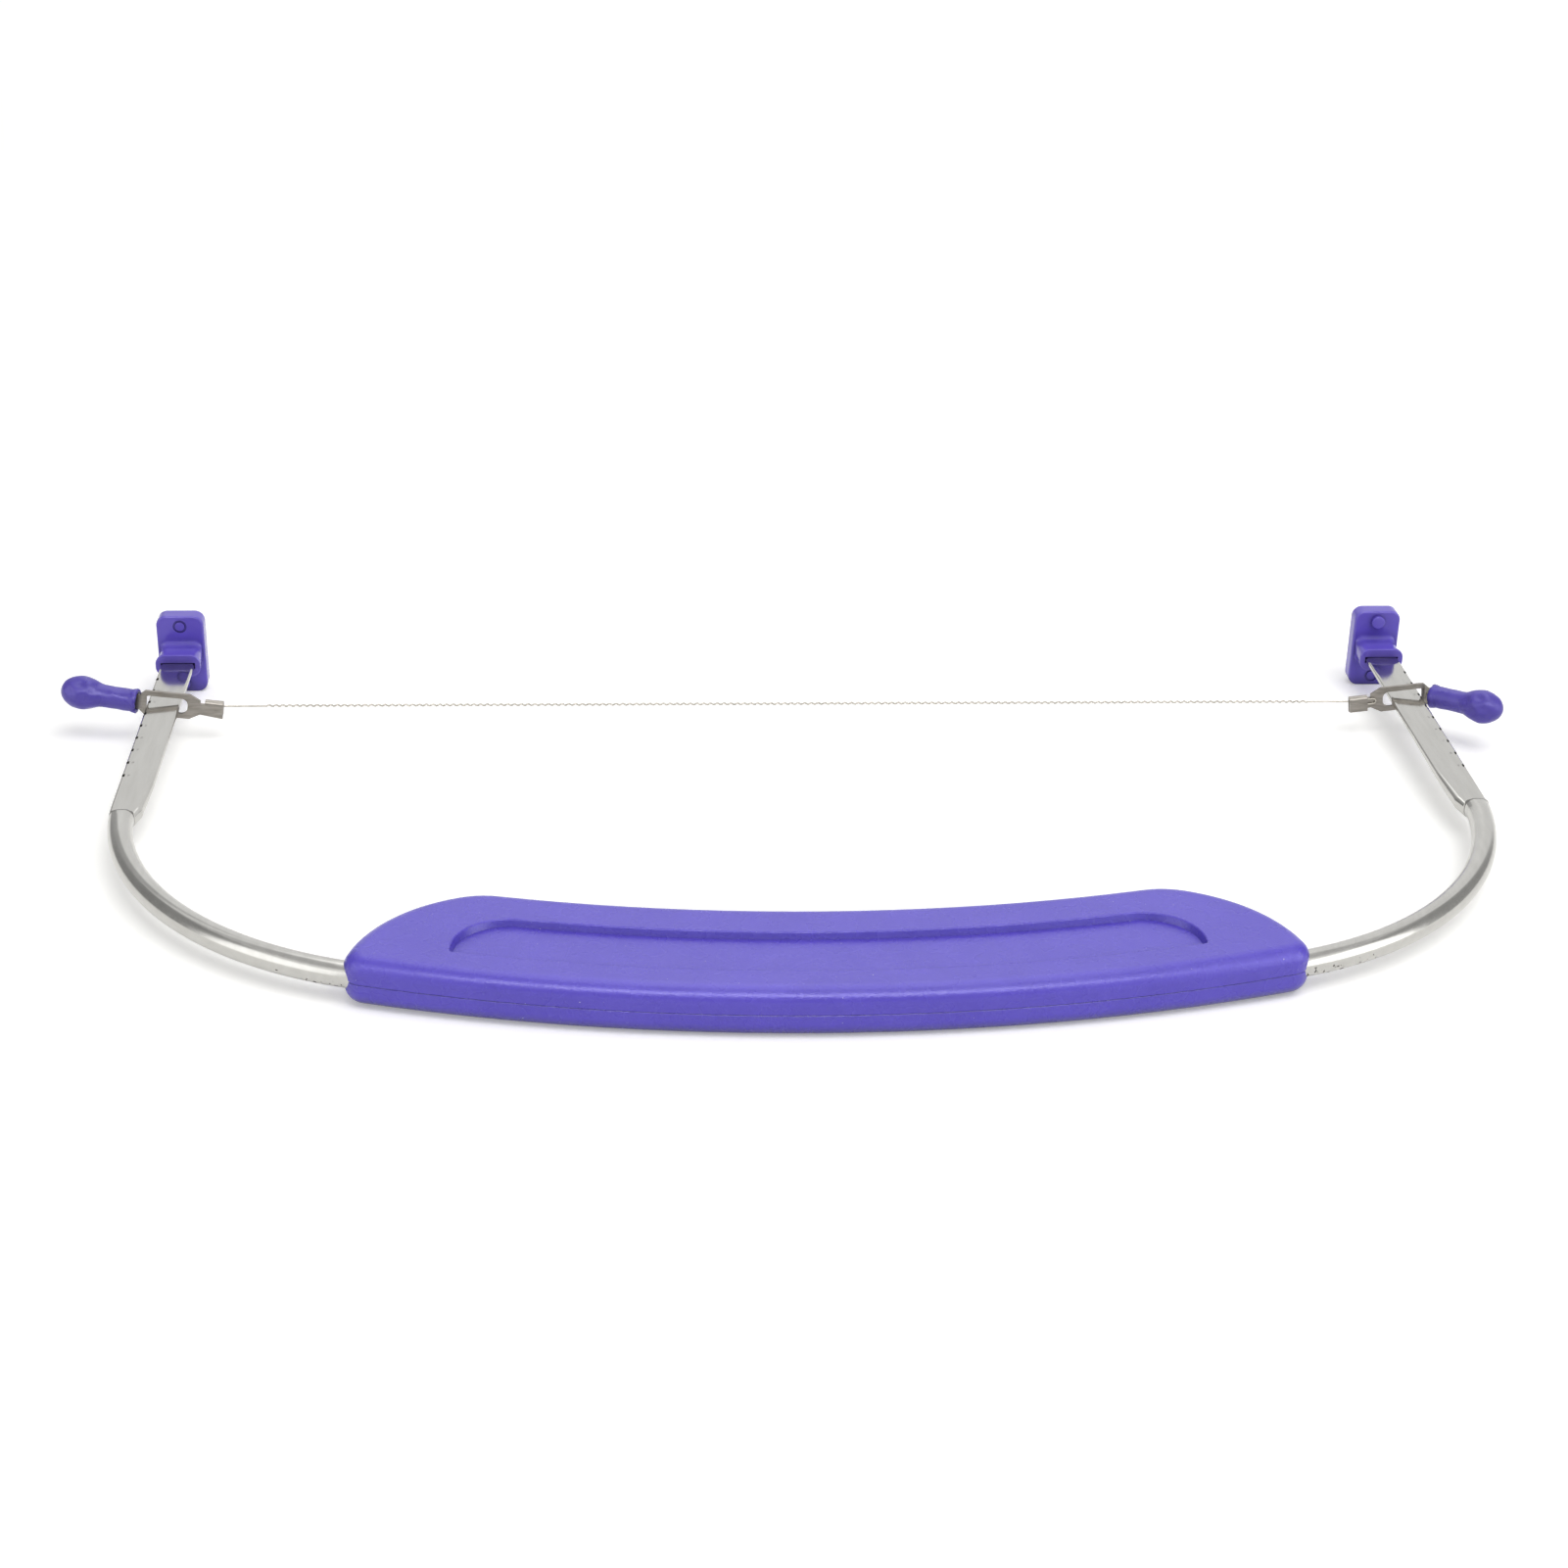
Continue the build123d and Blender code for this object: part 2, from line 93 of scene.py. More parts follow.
@dataclass(frozen=True)
class Layout:
    """Where the CAD source lays the tool down, in millimetres and degrees."""

    tilt: float = 1.5574419
    shift: Triple = (1.5758096, 79.3068745, 8.9379471)
    edge_reach: float = 134.6
    arm_length: float = 76.9
    bend_radius: float = 69.2
    back_radius: float = 450.0
    tube_radius: float = 2.38
    wire_y: float = -29.92
    clip_rise: float = 0.5
    clip_tilt: float = 6.5
    strip_half: float = 0.625
    first_notch: float = 18.3
    notch_pitch: float = 5.81
    notch_count: int = 9
    notch_width: float = 1.1
    notch_depth: float = 0.65
    tang_start: float = 0.95

    @property
    def bend_x(self) -> float:
        """How far each bend's centre stands from the middle plane."""
        return self.edge_reach - self.tube_radius - self.bend_radius

    @property
    def back_angle(self) -> float:
        """Half of the angle that the bow's back spans, in radians."""
        return math.asin(self.bend_x / (self.back_radius - self.bend_radius))

    @property
    def path_length(self) -> float:
        """Length of the tube's centre line from the soles' plane to the middle of the handle."""
        bend = self.bend_radius * (math.pi / 2 - self.back_angle)
        return self.arm_length + bend + self.back_radius * self.back_angle

    def laid(self) -> Matrix:
        """The bow's frame to the row frame, both in metres."""
        return Matrix.Translation(Vector(self.shift) * MM) @ Matrix.Rotation(math.radians(self.tilt), 4, "X")

    def path(self, along: float) -> tuple[Vector, Vector]:
        """A point on the right-hand half of the tube's centre line and the outward direction there.

        Args:
            along: Distance from the soles' plane, in millimetres.

        Returns:
            The point and the unit vector, in the bow's frame.
        """
        turn = (along - self.arm_length) / self.bend_radius
        if turn <= 0.0:
            return Vector((self.edge_reach - self.tube_radius, -along, 0.0)), Vector((1.0, 0.0, 0.0))
        if turn <= math.pi / 2 - self.back_angle:
            outward = Vector((math.cos(turn), -math.sin(turn), 0.0))
            return Vector((self.bend_x, -self.arm_length, 0.0)) + outward * self.bend_radius, outward
        turn = (self.path_length - along) / self.back_radius
        outward = Vector((math.sin(turn), -math.cos(turn), 0.0))
        centre_y = -self.arm_length + (self.back_radius - self.bend_radius) * math.cos(self.back_angle)
        return Vector((0.0, centre_y, 0.0)) + outward * self.back_radius, outward

    def notch(self, side: Side, index: int, inset: float = 0.0, height: float = 0.0) -> Vector:
        """A place beside one notch, in millimetres in the bow's frame.

        Args:
            side: Which arm.
            index: The notch, counted from the feet.
            inset: How far inwards from the arm's notched edge.
            height: How far above the arm's middle.

        Returns:
            The place.
        """
        along = -self.first_notch - index * self.notch_pitch
        return Vector((side.value * (self.edge_reach - inset), along, height))

    def clip(self, side: Side) -> Matrix:
        """A clip's frame to the row frame: X outwards from the notched edge, Z up."""
        half_turn = Matrix.Rotation(0.0 if side is Side.RIGHT else math.pi, 4, "Z")
        hang = Matrix.Translation(Vector((self.edge_reach, 0.0, self.clip_rise)) * MM)
        tilted = hang @ Matrix.Rotation(-math.radians(self.clip_tilt), 4, "Y")
        return self.laid() @ Matrix.Translation(Vector((0.0, self.wire_y, 0.0)) * MM) @ half_turn @ tilted

    def knob(self, side: Side, bend: float, distance: float) -> Matrix:
        """A knob's frame to the row frame, with its mouth at the origin and its axis along X.

        Args:
            side: Which arm.
            bend: How far the tang is bent aside, in degrees.
            distance: From the bend to the knob's mouth.

        Returns:
            The matrix, in metres.
        """
        turn = math.radians(bend)
        mouth = Vector((self.tang_start + distance * math.cos(turn), -distance * math.sin(turn), 0.0)) * MM
        return self.clip(side) @ Matrix.Translation(mouth) @ Matrix.Rotation(-turn, 4, "Z")


LAYOUT = Layout()


# Shared material tools


class NodeBoard:
    """The node tree of a material or a world, filled step by step."""

    MIX_SOCKETS = {"RGBA": (6, 7, 2), "FLOAT": (2, 3, 0)}
    RANGE_SOCKETS = ("From Min", "From Max", "To Min", "To Max")

    def __init__(self, owner: bpy.types.Material | bpy.types.World) -> None:
        """Starts with an empty tree.

        Args:
            owner: What the tree belongs to.
        """
        owner.use_nodes = True
        self.owner = owner
        self.tree = owner.node_tree
        self.tree.nodes.clear()

    def node(self, kind: str) -> bpy.types.Node:
        """Adds a node of the given kind."""
        return self.tree.nodes.new(kind)

    def link(self, start: Socket, end: Socket) -> None:
        """Joins an output to an input."""
        self.tree.links.new(start, end)

    def feed(self, value: Feed, end: Socket) -> None:
        """Joins an output to an input, or sets a plain value on it.

        Args:
            value: The output or the plain value.
            end: The input.
        """
        if isinstance(value, Socket):
            self.link(value, end)
        else:
            end.default_value = value

    def math(self, operation: str, first: Feed, second: Feed = 0.0) -> Socket:
        """One step of arithmetic.

        Args:
            operation: Blender's name for it.
            first: The first value.
            second: The second value, where it has one.

        Returns:
            The result.
        """
        step = self.node("ShaderNodeMath")
        step.operation = operation
        for value, end in zip((first, second), step.inputs):
            self.feed(value, end)
        return step.outputs[0]

    def between(self, value: Feed, span: Span) -> list[Socket]:
        """Two tests that are both 1 where a value lies inside the span."""
        return [self.math("GREATER_THAN", value, span[0]), self.math("LESS_THAN", value, span[1])]

    def product(self, values: list[Socket]) -> Socket:
        """All the values multiplied together."""
        total = values[0]
        for value in values[1:]:
            total = self.math("MULTIPLY", total, value)
        return total

    def ranged(self, value: Feed, start: Span, end: Span, smooth: bool = False) -> Socket:
        """Maps a value from one range onto another.

        Args:
            value: The value.
            start: The range that it comes from.
            end: The range that it is mapped onto.
            smooth: Whether it eases in and out.

        Returns:
            The mapped value.
        """
        remap = self.node("ShaderNodeMapRange")
        remap.interpolation_type = "SMOOTHSTEP" if smooth else "LINEAR"
        for name, number in zip(self.RANGE_SOCKETS, (*start, *end)):
            remap.inputs[name].default_value = number
        self.feed(value, remap.inputs["Value"])
        return remap.outputs["Result"]

    def mix(self, kind: str, share: Feed, first: Feed, second: Feed, blend: str = "MIX") -> Socket:
        """Mixes two colours or two numbers.

        Args:
            kind: RGBA for colours, FLOAT for numbers.
            share: How much of the second one shows.
            first: The colour or number below.
            second: The one laid over it.
            blend: How colours are blended.

        Returns:
            The mixture.
        """
        mixer = self.node("ShaderNodeMix")
        mixer.data_type, mixer.blend_type = kind, blend
        low, high, result = self.MIX_SOCKETS[kind]
        for value, index in ((share, 0), (first, low), (second, high)):
            self.feed(value, mixer.inputs[index])
        return mixer.outputs[result]

    def rays(self) -> Socket:
        """A value of 1 for the rays that see a backdrop's own brightness, and 0 for the rest."""
        paths = self.node("ShaderNodeLightPath")
        camera, *others = (paths.outputs[kind.value] for kind in Visibility)
        total = camera
        for other in others:
            total = self.math("MAXIMUM", total, other)
        return total

    def finish(self, kind: str, surface: Socket) -> None:
        """Sends a shader to the tree's output node.

        Args:
            kind: The kind of output node.
            surface: The shader.
        """
        self.link(surface, self.node(kind).inputs["Surface"])


class MaterialRecipe(NodeBoard):
    """A material built round one Principled shader, with its patterns on Object coordinates."""

    NOISE_SPAN = (0.3, 0.7)
    CREVICE_SAMPLES = 16

    def __init__(self, name: str) -> None:
        """Starts a material that has the shader alone.

        Args:
            name: The material's name.
        """
        super().__init__(bpy.data.materials.new(name))
        self.shader = self.node("ShaderNodeBsdfPrincipled")
        self.finish("ShaderNodeOutputMaterial", self.shader.outputs["BSDF"])
        self.place = self.node("ShaderNodeTexCoord").outputs["Object"]

    def grain(self, size: float, detail: float = 2.0, stretch: Triple = (1.0, 1.0, 1.0)) -> Socket:
        """Soft noise.

        Args:
            size: Size of one patch, in millimetres.
            detail: How many finer octaves ride on it.
            stretch: How many times finer the noise is along each axis.

        Returns:
            The noise value, about 0.5 in the middle.
        """
        mapping = self.node("ShaderNodeMapping")
        mapping.inputs["Scale"].default_value = stretch
        self.link(self.place, mapping.inputs["Vector"])
        texture = self.node("ShaderNodeTexNoise")
        texture.inputs["Scale"].default_value = 1.0 / (size * MM)
        texture.inputs["Detail"].default_value = detail
        self.link(mapping.outputs["Vector"], texture.inputs["Vector"])
        return texture.outputs["Fac"]

    def ramp(self, value: Socket, low: Colour, high: Colour, span: Span) -> Socket:
        """Turns a value into a colour between two.

        Args:
            value: The driving value.
            low: Colour below the span.
            high: Colour above the span.
            span: Where the change starts and ends.

        Returns:
            The colour.
        """
        ramp = self.node("ShaderNodeValToRGB")
        for element, position, colour in zip(ramp.color_ramp.elements, span, (low, high)):
            element.position, element.color = position, (*colour, 1.0)
        self.link(value, ramp.inputs["Fac"])
        return ramp.outputs["Color"]

    def spread(self, value: Socket, end: Span) -> Socket:
        """Maps noise from its usual range onto another."""
        return self.ranged(value, self.NOISE_SPAN, end)

    def openness(self, reach: float) -> Socket:
        """How open each place is.

        Args:
            reach: How far it feels for other faces, in millimetres.

        Returns:
            1 on flat and outer faces, less in crevices.
        """
        feeler = self.node("ShaderNodeAmbientOcclusion")
        feeler.samples = self.CREVICE_SAMPLES
        feeler.inputs["Distance"].default_value = reach * MM
        return feeler.outputs["AO"]

    def cover(self, mask: Socket, colour: Colour, roughness: float) -> None:
        """Lays another colour and roughness over what the shader has.

        Args:
            mask: 1 where it shows.
            colour: The colour laid over.
            roughness: Its roughness.
        """
        for name, kind, over in (("Base Color", "RGBA", (*colour, 1.0)), ("Roughness", "FLOAT", roughness)):
            target = self.shader.inputs[name]
            self.link(self.mix(kind, mask, target.links[0].from_socket, over), target)

    def bump(self, height: Socket, depth: float, below: Socket | None = None) -> Socket:
        """Adds relief to the surface.

        Args:
            height: The relief's height from 0 to 1.
            depth: What a height of 1 is, in millimetres.
            below: A relief that this one rides on.

        Returns:
            The normal, which also goes to the shader.
        """
        relief = self.node("ShaderNodeBump")
        relief.inputs["Distance"].default_value = depth * MM
        self.link(height, relief.inputs["Height"])
        if below is not None:
            self.link(below, relief.inputs["Normal"])
        self.link(relief.outputs["Normal"], self.shader.inputs["Normal"])
        return relief.outputs["Normal"]


@dataclass(frozen=True)
class MouldedPlastic:
    """A moulded plastic or vinyl finish with fine grain, faint clouding, painted shade in crevices and dust
    specks.
    """

    name: str
    deep: Colour
    pale: Colour
    roughness: Span
    grain_size: float
    grain_depth: float
    swell_size: float
    swell_depth: float
    specular: float = 0.5
    cloud_size: float = 9.0
    cloud_span: Span = (0.38, 0.62)
    gloss_patch: float = 4.0
    speck: Colour = (0.55, 0.53, 0.74)
    speck_size: float = 0.55
    speck_from: float = 0.80
    speck_edge: float = 0.03
    # Painted shade: how far ambient occlusion feels for faces, where the darkening starts and how dark
    # crevices are painted.
    crevice_reach: float = 3.0
    crevice_span: Span = (0.35, 1.0)
    crevice_shade: float = 0.42

    def make(self) -> bpy.types.Material:
        """Builds the material."""
        recipe = MaterialRecipe(self.name)
        inputs = recipe.shader.inputs
        clouds = recipe.ramp(recipe.grain(self.cloud_size, 3.0), self.deep, self.pale, self.cloud_span)
        speck_span = (self.speck_from, self.speck_from + self.speck_edge)
        specks = recipe.ramp(recipe.grain(self.speck_size, 1.0), BLACK, WHITE, speck_span)
        dusty = recipe.mix("RGBA", specks, clouds, (*self.speck, 1.0))
        # Painted shade: the base colour is darkened where ambient occlusion finds crevices, recesses and
        # seams.
        darkest_painted_shade = (self.crevice_shade, self.crevice_shade, self.crevice_shade)
        shade = recipe.ramp(recipe.openness(self.crevice_reach), darkest_painted_shade, WHITE, self.crevice_span)
        recipe.link(recipe.mix("RGBA", 1.0, dusty, shade, "MULTIPLY"), inputs["Base Color"])
        recipe.link(recipe.spread(recipe.grain(self.gloss_patch), self.roughness), inputs["Roughness"])
        swell = recipe.bump(recipe.grain(self.swell_size, 1.0), self.swell_depth)
        recipe.bump(recipe.grain(self.grain_size), self.grain_depth, swell)
        inputs["Specular IOR Level"].default_value = self.specular
        return recipe.owner


@dataclass(frozen=True)
class Steel:
    """A steel finish: polished, brushed or stamped, with streaks and smudges."""

    name: str
    dull: Colour
    bright: Colour
    roughness: Span
    streak_size: float
    streak_depth: float
    streak_stretch: Triple = (1.0, 1.0, 1.0)
    streak_span: Span = (0.3, 0.66)
    gloss_patch: float = 3.2

    def make(self) -> bpy.types.Material:
        """Builds the material."""
        recipe = MaterialRecipe(self.name)
        inputs = recipe.shader.inputs
        streaks = recipe.grain(self.streak_size, 3.0, self.streak_stretch)
        recipe.link(recipe.ramp(streaks, self.dull, self.bright, self.streak_span), inputs["Base Color"])
        recipe.link(recipe.spread(recipe.grain(self.gloss_patch, 3.0), self.roughness), inputs["Roughness"])
        recipe.bump(streaks, self.streak_depth)
        inputs["Metallic"].default_value = 1.0
        self.mark(recipe)
        return recipe.owner

    def mark(self, recipe: MaterialRecipe) -> None:
        """Leaves a plain steel unmarked."""


@dataclass(frozen=True)
class NotchedSteel(Steel):
    """Polished steel whose rough notch walls carry painted shade, partly their own dark punched steel, with
    painted shade along the crease where the arms begin, and a few scuffs.
    """

    # Painted shade in the notches, partly the walls' own dark punched steel.
    wall: Colour = (0.045, 0.043, 0.040)
    wall_roughness: float = 0.6
    margin: float = 0.04
    tube_roughening: float = 0.09
    tube_blend: float = 4.0
    scuff: Colour = (0.12, 0.115, 0.105)
    scuff_size: float = 1.0
    scuff_from: float = 0.635
    scuff_top: float = 5.3
    scuff_span: Span = (84.0, 98.0)
    crease: Span = (82.82, 83.25)
    # Painted shade along the crease where the tube rises from the pressed arm.
    crease_line: Colour = (0.20, 0.195, 0.185)

    def mark(self, recipe: MaterialRecipe) -> None:
        """Roughens the tube, darkens the scuffs, and paints shade along the crease and on the notches' walls,
        which are partly their own dark steel.

        Args:
            recipe: The steel's recipe.
        """
        tilt = math.radians(LAYOUT.tilt)
        arm_axis = Vector((0.0, math.cos(tilt), math.sin(tilt)))
        soles = Vector(LAYOUT.shift).dot(arm_axis)
        split = recipe.node("ShaderNodeSeparateXYZ")
        recipe.link(recipe.place, split.inputs[0])
        off_middle = recipe.math("SUBTRACT", split.outputs["X"], LAYOUT.shift[0] * MM)
        side = recipe.math("MULTIPLY", recipe.math("ABSOLUTE", off_middle), 1.0 / MM)
        dot = recipe.node("ShaderNodeVectorMath")
        dot.operation = "DOT_PRODUCT"
        dot.inputs[1].default_value = arm_axis
        recipe.link(recipe.place, dot.inputs[0])
        along = dot.outputs["Value"]
        self.roughen(recipe, along)

        # Painted shade: a dark line laid along the crease where the tube rises from the pressed arm.
        from_bend = recipe.math("SUBTRACT", along, (soles - LAYOUT.arm_length) * MM)
        into_bend = recipe.math("MULTIPLY", from_bend, -1.0 / MM)
        turn = recipe.math("DIVIDE", into_bend, recipe.math("SUBTRACT", side, LAYOUT.bend_x))
        start, end = ((place - LAYOUT.arm_length) / LAYOUT.bend_radius for place in self.crease)
        recipe.cover(recipe.product(recipe.between(turn, (start, end))), self.crease_line, self.wall_roughness)

        scuffed = [
            recipe.math("GREATER_THAN", recipe.grain(self.scuff_size, 3.0), self.scuff_from),
            *recipe.between(side, self.scuff_span),
            recipe.math("LESS_THAN", split.outputs["Z"], self.scuff_top * MM),
        ]
        recipe.cover(recipe.product(scuffed), self.scuff, self.wall_roughness)

        zero = soles - LAYOUT.first_notch + LAYOUT.notch_pitch / 2
        from_zero = recipe.math("SUBTRACT", along, zero * MM)
        steps = recipe.math("MULTIPLY", from_zero, -1.0 / (LAYOUT.notch_pitch * MM))
        off_notch = recipe.math("ABSOLUTE", recipe.math("SUBTRACT", recipe.math("FRACT", steps), 0.5))
        # Painted shade in the notches, partly the walls' own dark punched steel, laid on their walls with more
        # roughness.
        notched = [
            recipe.math("GREATER_THAN", side, LAYOUT.edge_reach - LAYOUT.notch_depth - self.margin),
            recipe.math("LESS_THAN", off_notch, (LAYOUT.notch_width / 2 + self.margin) / LAYOUT.notch_pitch),
            *recipe.between(steps, (0.0, float(LAYOUT.notch_count))),
        ]
        recipe.cover(recipe.product(notched), self.wall, self.wall_roughness)

    def roughen(self, recipe: MaterialRecipe, along: Socket) -> None:
        """Leaves the round tube less smooth than its pressed arms.

        Args:
            recipe: The steel's recipe.
            along: Distance along the arms in the row frame, in metres.
        """
        press_end = Vector(LAYOUT.shift).y - LAYOUT.arm_length - self.tube_blend
        blend = (press_end * MM, (press_end - self.tube_blend) * MM)
        more = recipe.ranged(along, blend, (0.0, self.tube_roughening))
        roughness = recipe.shader.inputs["Roughness"]
        recipe.link(recipe.math("ADD", roughness.links[0].from_socket, more), roughness)


HANDLE_PLASTIC = MouldedPlastic(
    "handle_satin_plastic",
    deep=(0.090, 0.060, 0.540),
    pale=(0.099, 0.067, 0.572),
    roughness=(0.25, 0.30),
    grain_size=0.42,
    grain_depth=0.042,
    swell_size=30.0,
    swell_depth=0.02,
    specular=0.56,
)
FOOT_PLASTIC = MouldedPlastic(
    "foot_gloss_plastic",
    deep=(0.124, 0.086, 0.545),
    pale=(0.146, 0.103, 0.595),
    roughness=(0.12, 0.20),
    grain_size=0.6,
    grain_depth=0.002,
    swell_size=3.5,
    swell_depth=0.06,
    speck_from=0.90,
)
KNOB_VINYL = MouldedPlastic(
    "knob_soft_vinyl",
    deep=(0.073, 0.050, 0.375),
    pale=(0.096, 0.069, 0.425),
    roughness=(0.24, 0.34),
    grain_size=0.45,
    grain_depth=0.008,
    swell_size=2.4,
    swell_depth=0.09,
    specular=0.36,
    speck_from=0.84,
)
BOW_STEEL = NotchedSteel(
    "bow_polished_steel",
    dull=(0.485, 0.478, 0.455),
    bright=(0.525, 0.518, 0.495),
    roughness=(0.10, 0.13),
    streak_size=1.6,
    streak_depth=0.0006,
    streak_stretch=(1.0, 0.12, 1.0),
)
CLIP_STEEL = Steel(
    "clip_stamped_steel",
    dull=(0.22, 0.204, 0.183),
    bright=(0.315, 0.294, 0.268),
    roughness=(0.34, 0.46),
    streak_size=0.6,
    streak_depth=0.004,
    streak_stretch=(0.2, 1.0, 1.0),
)
WIRE_STEEL = Steel(
    "wire_stainless",
    dull=(0.34, 0.32, 0.28),
    bright=(0.50, 0.47, 0.42),
    roughness=(0.25, 0.36),
    streak_size=0.4,
    streak_depth=0.002,
)
STAMP_STEEL = Steel(
    "stamped_mark_steel",
    dull=(0.24, 0.235, 0.225),
    bright=(0.34, 0.33, 0.32),
    roughness=(0.35, 0.45),
    streak_size=0.3,
    streak_depth=0.002,
)


def dress(piece: bpy.types.Object, finish: MouldedPlastic | Steel) -> None:
    """Puts one finish on every material slot of a piece.

    Args:
        piece: The piece or CAD node.
        finish: The finish to build, once for each name.
    """
    material = bpy.data.materials.get(finish.name) or finish.make()
    if not piece.material_slots:
        piece.data.materials.append(material)
    for slot in piece.material_slots:
        slot.material = material


# Shared mesh tools


def finished(name: str, mesh: bmesh.types.BMesh, place: Matrix, smooth: bool = True) -> bpy.types.Object:
    """Makes an object at the origin from a bmesh drawn in millimetres in a local frame.

    Args:
        name: The piece's name.
        mesh: The bmesh, freed here.
        place: Local frame to row frame, in metres.
        smooth: Whether its faces are shaded smooth.

    Returns:
        The linked object.
    """
    bmesh.ops.transform(mesh, matrix=place @ Matrix.Scale(MM, 4), verts=mesh.verts)
    bmesh.ops.recalc_face_normals(mesh, faces=mesh.faces)
    for face in mesh.faces:
        face.smooth = smooth
    data = bpy.data.meshes.new(name)
    mesh.to_mesh(data)
    mesh.free()
    piece = bpy.data.objects.new(name, data)
    bpy.context.scene.collection.objects.link(piece)
    return piece


def cut_out(piece: bpy.types.Object, cutter: bpy.types.Object) -> None:
    """Cuts a cutter's shape out of a piece's mesh and deletes the cutter.

    Args:
        piece: The piece.
        cutter: What is cut away.
    """
    cut = piece.modifiers.new(cutter.name, "BOOLEAN")
    cut.object, cut.operation, cut.solver = cutter, "DIFFERENCE", "EXACT"
    graph = bpy.context.evaluated_depsgraph_get()
    made = bpy.data.meshes.new_from_object(piece.evaluated_get(graph))
    piece.modifiers.clear()
    piece.data = made
    bpy.data.objects.remove(cutter)


def curve_mesh(curve: bpy.types.Curve) -> bmesh.types.BMesh:
    """The bmesh of a text or a thick line.

    Args:
        curve: The text or line, with its thickness set.

    Returns:
        Its surface, in the curve's own units.
    """
    holder = bpy.data.objects.new(curve.name, curve)
    bpy.context.scene.collection.objects.link(holder)
    mesh = bmesh.new()
    mesh.from_mesh(holder.to_mesh())
    holder.to_mesh_clear()
    bpy.data.objects.remove(holder)
    return mesh


def swept(outlines: list[list[Vector]]) -> bmesh.types.BMesh:
    """Extrudes an outline step by step through a row of others.

    Args:
        outlines: The outlines in order, each with the same number of points.

    Returns:
        The closed body.
    """
    mesh = bmesh.new()
    head = mesh.faces.new([mesh.verts.new(point) for point in outlines[0]])
    for outline in outlines[1:]:
        head = bmesh.ops.extrude_discrete_faces(mesh, faces=[head])["faces"][0]
        for vert, point in zip(head.verts, outline):
            vert.co = point
    bmesh.ops.edgeloop_fill(mesh, edges=[edge for edge in mesh.edges if edge.is_boundary])
    return mesh


# The pieces


@dataclass
class Handle:
    """Two satin shells that clamp the tube. Their CAD shapes are right, so only the finish is added."""

    nodes: tuple[str, ...] = ("handle_top_shell", "handle_bottom_shell")

    def build(self, shown: Nodes) -> None:
        """Dresses both shells.

        Args:
            shown: The CAD nodes by name.
        """
        for name in self.nodes:
            dress(shown[name], HANDLE_PLASTIC)
            LOG.info("dressed %s", name)


@dataclass(frozen=True)
class TubeSection:
    """The tube's outline at one place, as a rounded box about its centre line, outer side first."""

    along: float
    outer: float
    inner: float
    top: float
    bottom: float
    rounding: tuple[float, float, float, float]

    def blend(self, other: "TubeSection", share: float) -> "TubeSection":
        """The outline part of the way to another one."""
        mixed = [a + (b - a) * share for a, b in zip(self.values(), other.values())]
        return TubeSection(*mixed[:5], tuple(mixed[5:]))

    def values(self) -> tuple[float, ...]:
        """All its numbers in a row."""
        return (self.along, self.outer, self.inner, self.top, self.bottom, *self.rounding)

    def ring(self, corner_steps: int = 7, support: float = 0.06) -> list[Span]:
        """Points round the outline, outward distance and height, starting at the outer top corner.

        Args:
            corner_steps: Segments on each rounded corner.
            support: How close to each corner a further point keeps the flats flat.

        Returns:
            The points, always the same number.
        """
        corners = (
            (self.outer, self.top, 1, 1, 0.0),
            (self.inner, self.top, -1, 1, math.pi / 2),
            (self.inner, self.bottom, -1, -1, math.pi),
            (self.outer, self.bottom, 1, -1, 3 * math.pi / 2),
        )
        arcs = []
        for (x, z, side, level, start), radius in zip(corners, self.rounding):
            turns = [start + math.pi / 2 * step / corner_steps for step in range(corner_steps + 1)]
            middle = (x - side * radius, z - level * radius)
            arcs.append([(middle[0] + radius * math.cos(t), middle[1] + radius * math.sin(t)) for t in turns])
        points = []
        for arc, following in zip(arcs, arcs[1:] + arcs[:1]):
            start, end = Vector(arc[-1]), Vector(following[0])
            inset = min(support / max((end - start).length, TINY), 1 / 3)
            points += [*arc, tuple(start.lerp(end, inset)), tuple(start.lerp(end, 1 - inset))]
        return points


